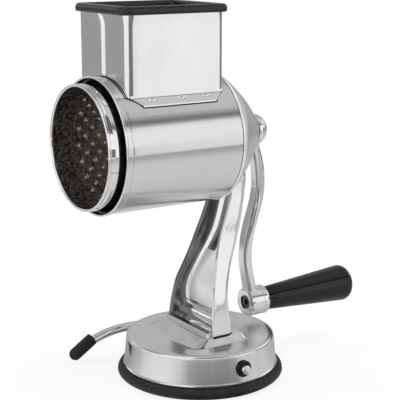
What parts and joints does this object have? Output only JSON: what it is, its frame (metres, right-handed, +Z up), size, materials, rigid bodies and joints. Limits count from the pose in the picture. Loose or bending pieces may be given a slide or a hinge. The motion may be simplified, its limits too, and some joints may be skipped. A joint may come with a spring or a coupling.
{
  "type": "rotary cabbage shredder",
  "caption": "Hand-cranked drum shredder on a lever-operated suction base, with a square feed hopper on a horizontal barrel and a perforated drum that pulls out.",
  "frame": {"origin": "centre of the suction base, where the rubber meets the table", "axes": "+Z up, -Y from the crank towards the drum's open mouth, +X to the operator's side opposite the suction lever"},
  "size_m": [0.1406, 0.2529, 0.2896],
  "materials": {
    "foot_rubber": "satin",
    "pan_steel": "satin",
    "zinc_steel": "satin",
    "black_plastic": "matte",
    "polished_rod": "polished",
    "tip_rubber": "satin",
    "stand_cast": "polished",
    "barrel_steel": "brushed",
    "hopper_steel": "brushed",
    "trim_black": "satin",
    "drum_steel": "satin",
    "polished_rim": "polished",
    "polished_cast": "polished",
    "screw_black": "dark",
    "grip_black": "gloss"
  },
  "bodies": {
    "frame": {"suction_pad": "foot_rubber", "base_pan": "pan_steel", "axle_bracket": "zinc_steel", "foot_washers": "zinc_steel", "foot_screws": "zinc_steel", "axle_bushes": "black_plastic", "stand": "stand_cast", "stand_head": "stand_cast", "shaft_bush": "black_plastic", "barrel": "barrel_steel", "barrel_screws": "zinc_steel", "hopper": "hopper_steel", "hopper_trim": "trim_black"},
    "lever": {"lever_rod": "polished_rod", "lever_tip": "tip_rubber", "axle_clip": "zinc_steel", "eccentric_cam": "black_plastic", "cam_pin": "zinc_steel"},
    "lifter": {"pad_lifter": "zinc_steel"},
    "crank": {"drive_shaft": "zinc_steel", "detent_ball": "zinc_steel", "detent_spring": "zinc_steel", "crank_washer": "black_plastic", "crank_arm": "polished_cast", "crank_cap": "polished_cast", "grip_screw": "screw_black", "grip_ring": "zinc_steel", "grip_collar": "polished_cast"},
    "grip": {"grip": "grip_black"},
    "drum": {"drum_shell": "drum_steel", "drum_rim": "polished_rim", "drum_back": "drum_steel", "drum_hub": "black_plastic", "drum_rivets": "zinc_steel"}
  },
  "joints": [
    {"name": "lever_turn", "type": "hinge", "parent": "frame", "child": "lever", "pos_m": [0, 0, 0.021], "axis": [-1, 0, 0], "range_deg": [0, 180]},
    {"name": "pad_lift", "type": "slide", "parent": "frame", "child": "lifter", "axis": [0, 0, 1], "range_m": [0, 0.004]},
    {"name": "crank_turn", "type": "hinge", "parent": "frame", "child": "crank", "pos_m": [0, 0, 0.1895], "axis": [0, 1, 0], "continuous": true},
    {"name": "grip_spin", "type": "hinge", "parent": "crank", "child": "grip", "pos_m": [0, 0, 0.0495], "axis": [0, 1, 0], "continuous": true},
    {"name": "drum_pull", "type": "slide", "parent": "crank", "child": "drum", "axis": [0, -1, 0], "range_m": [0, 0.125]}
  ],
  "couplings": [
    {"joint": "pad_lift", "follows": "lever_turn", "m_per_rad": 0.0012732}
  ]
}
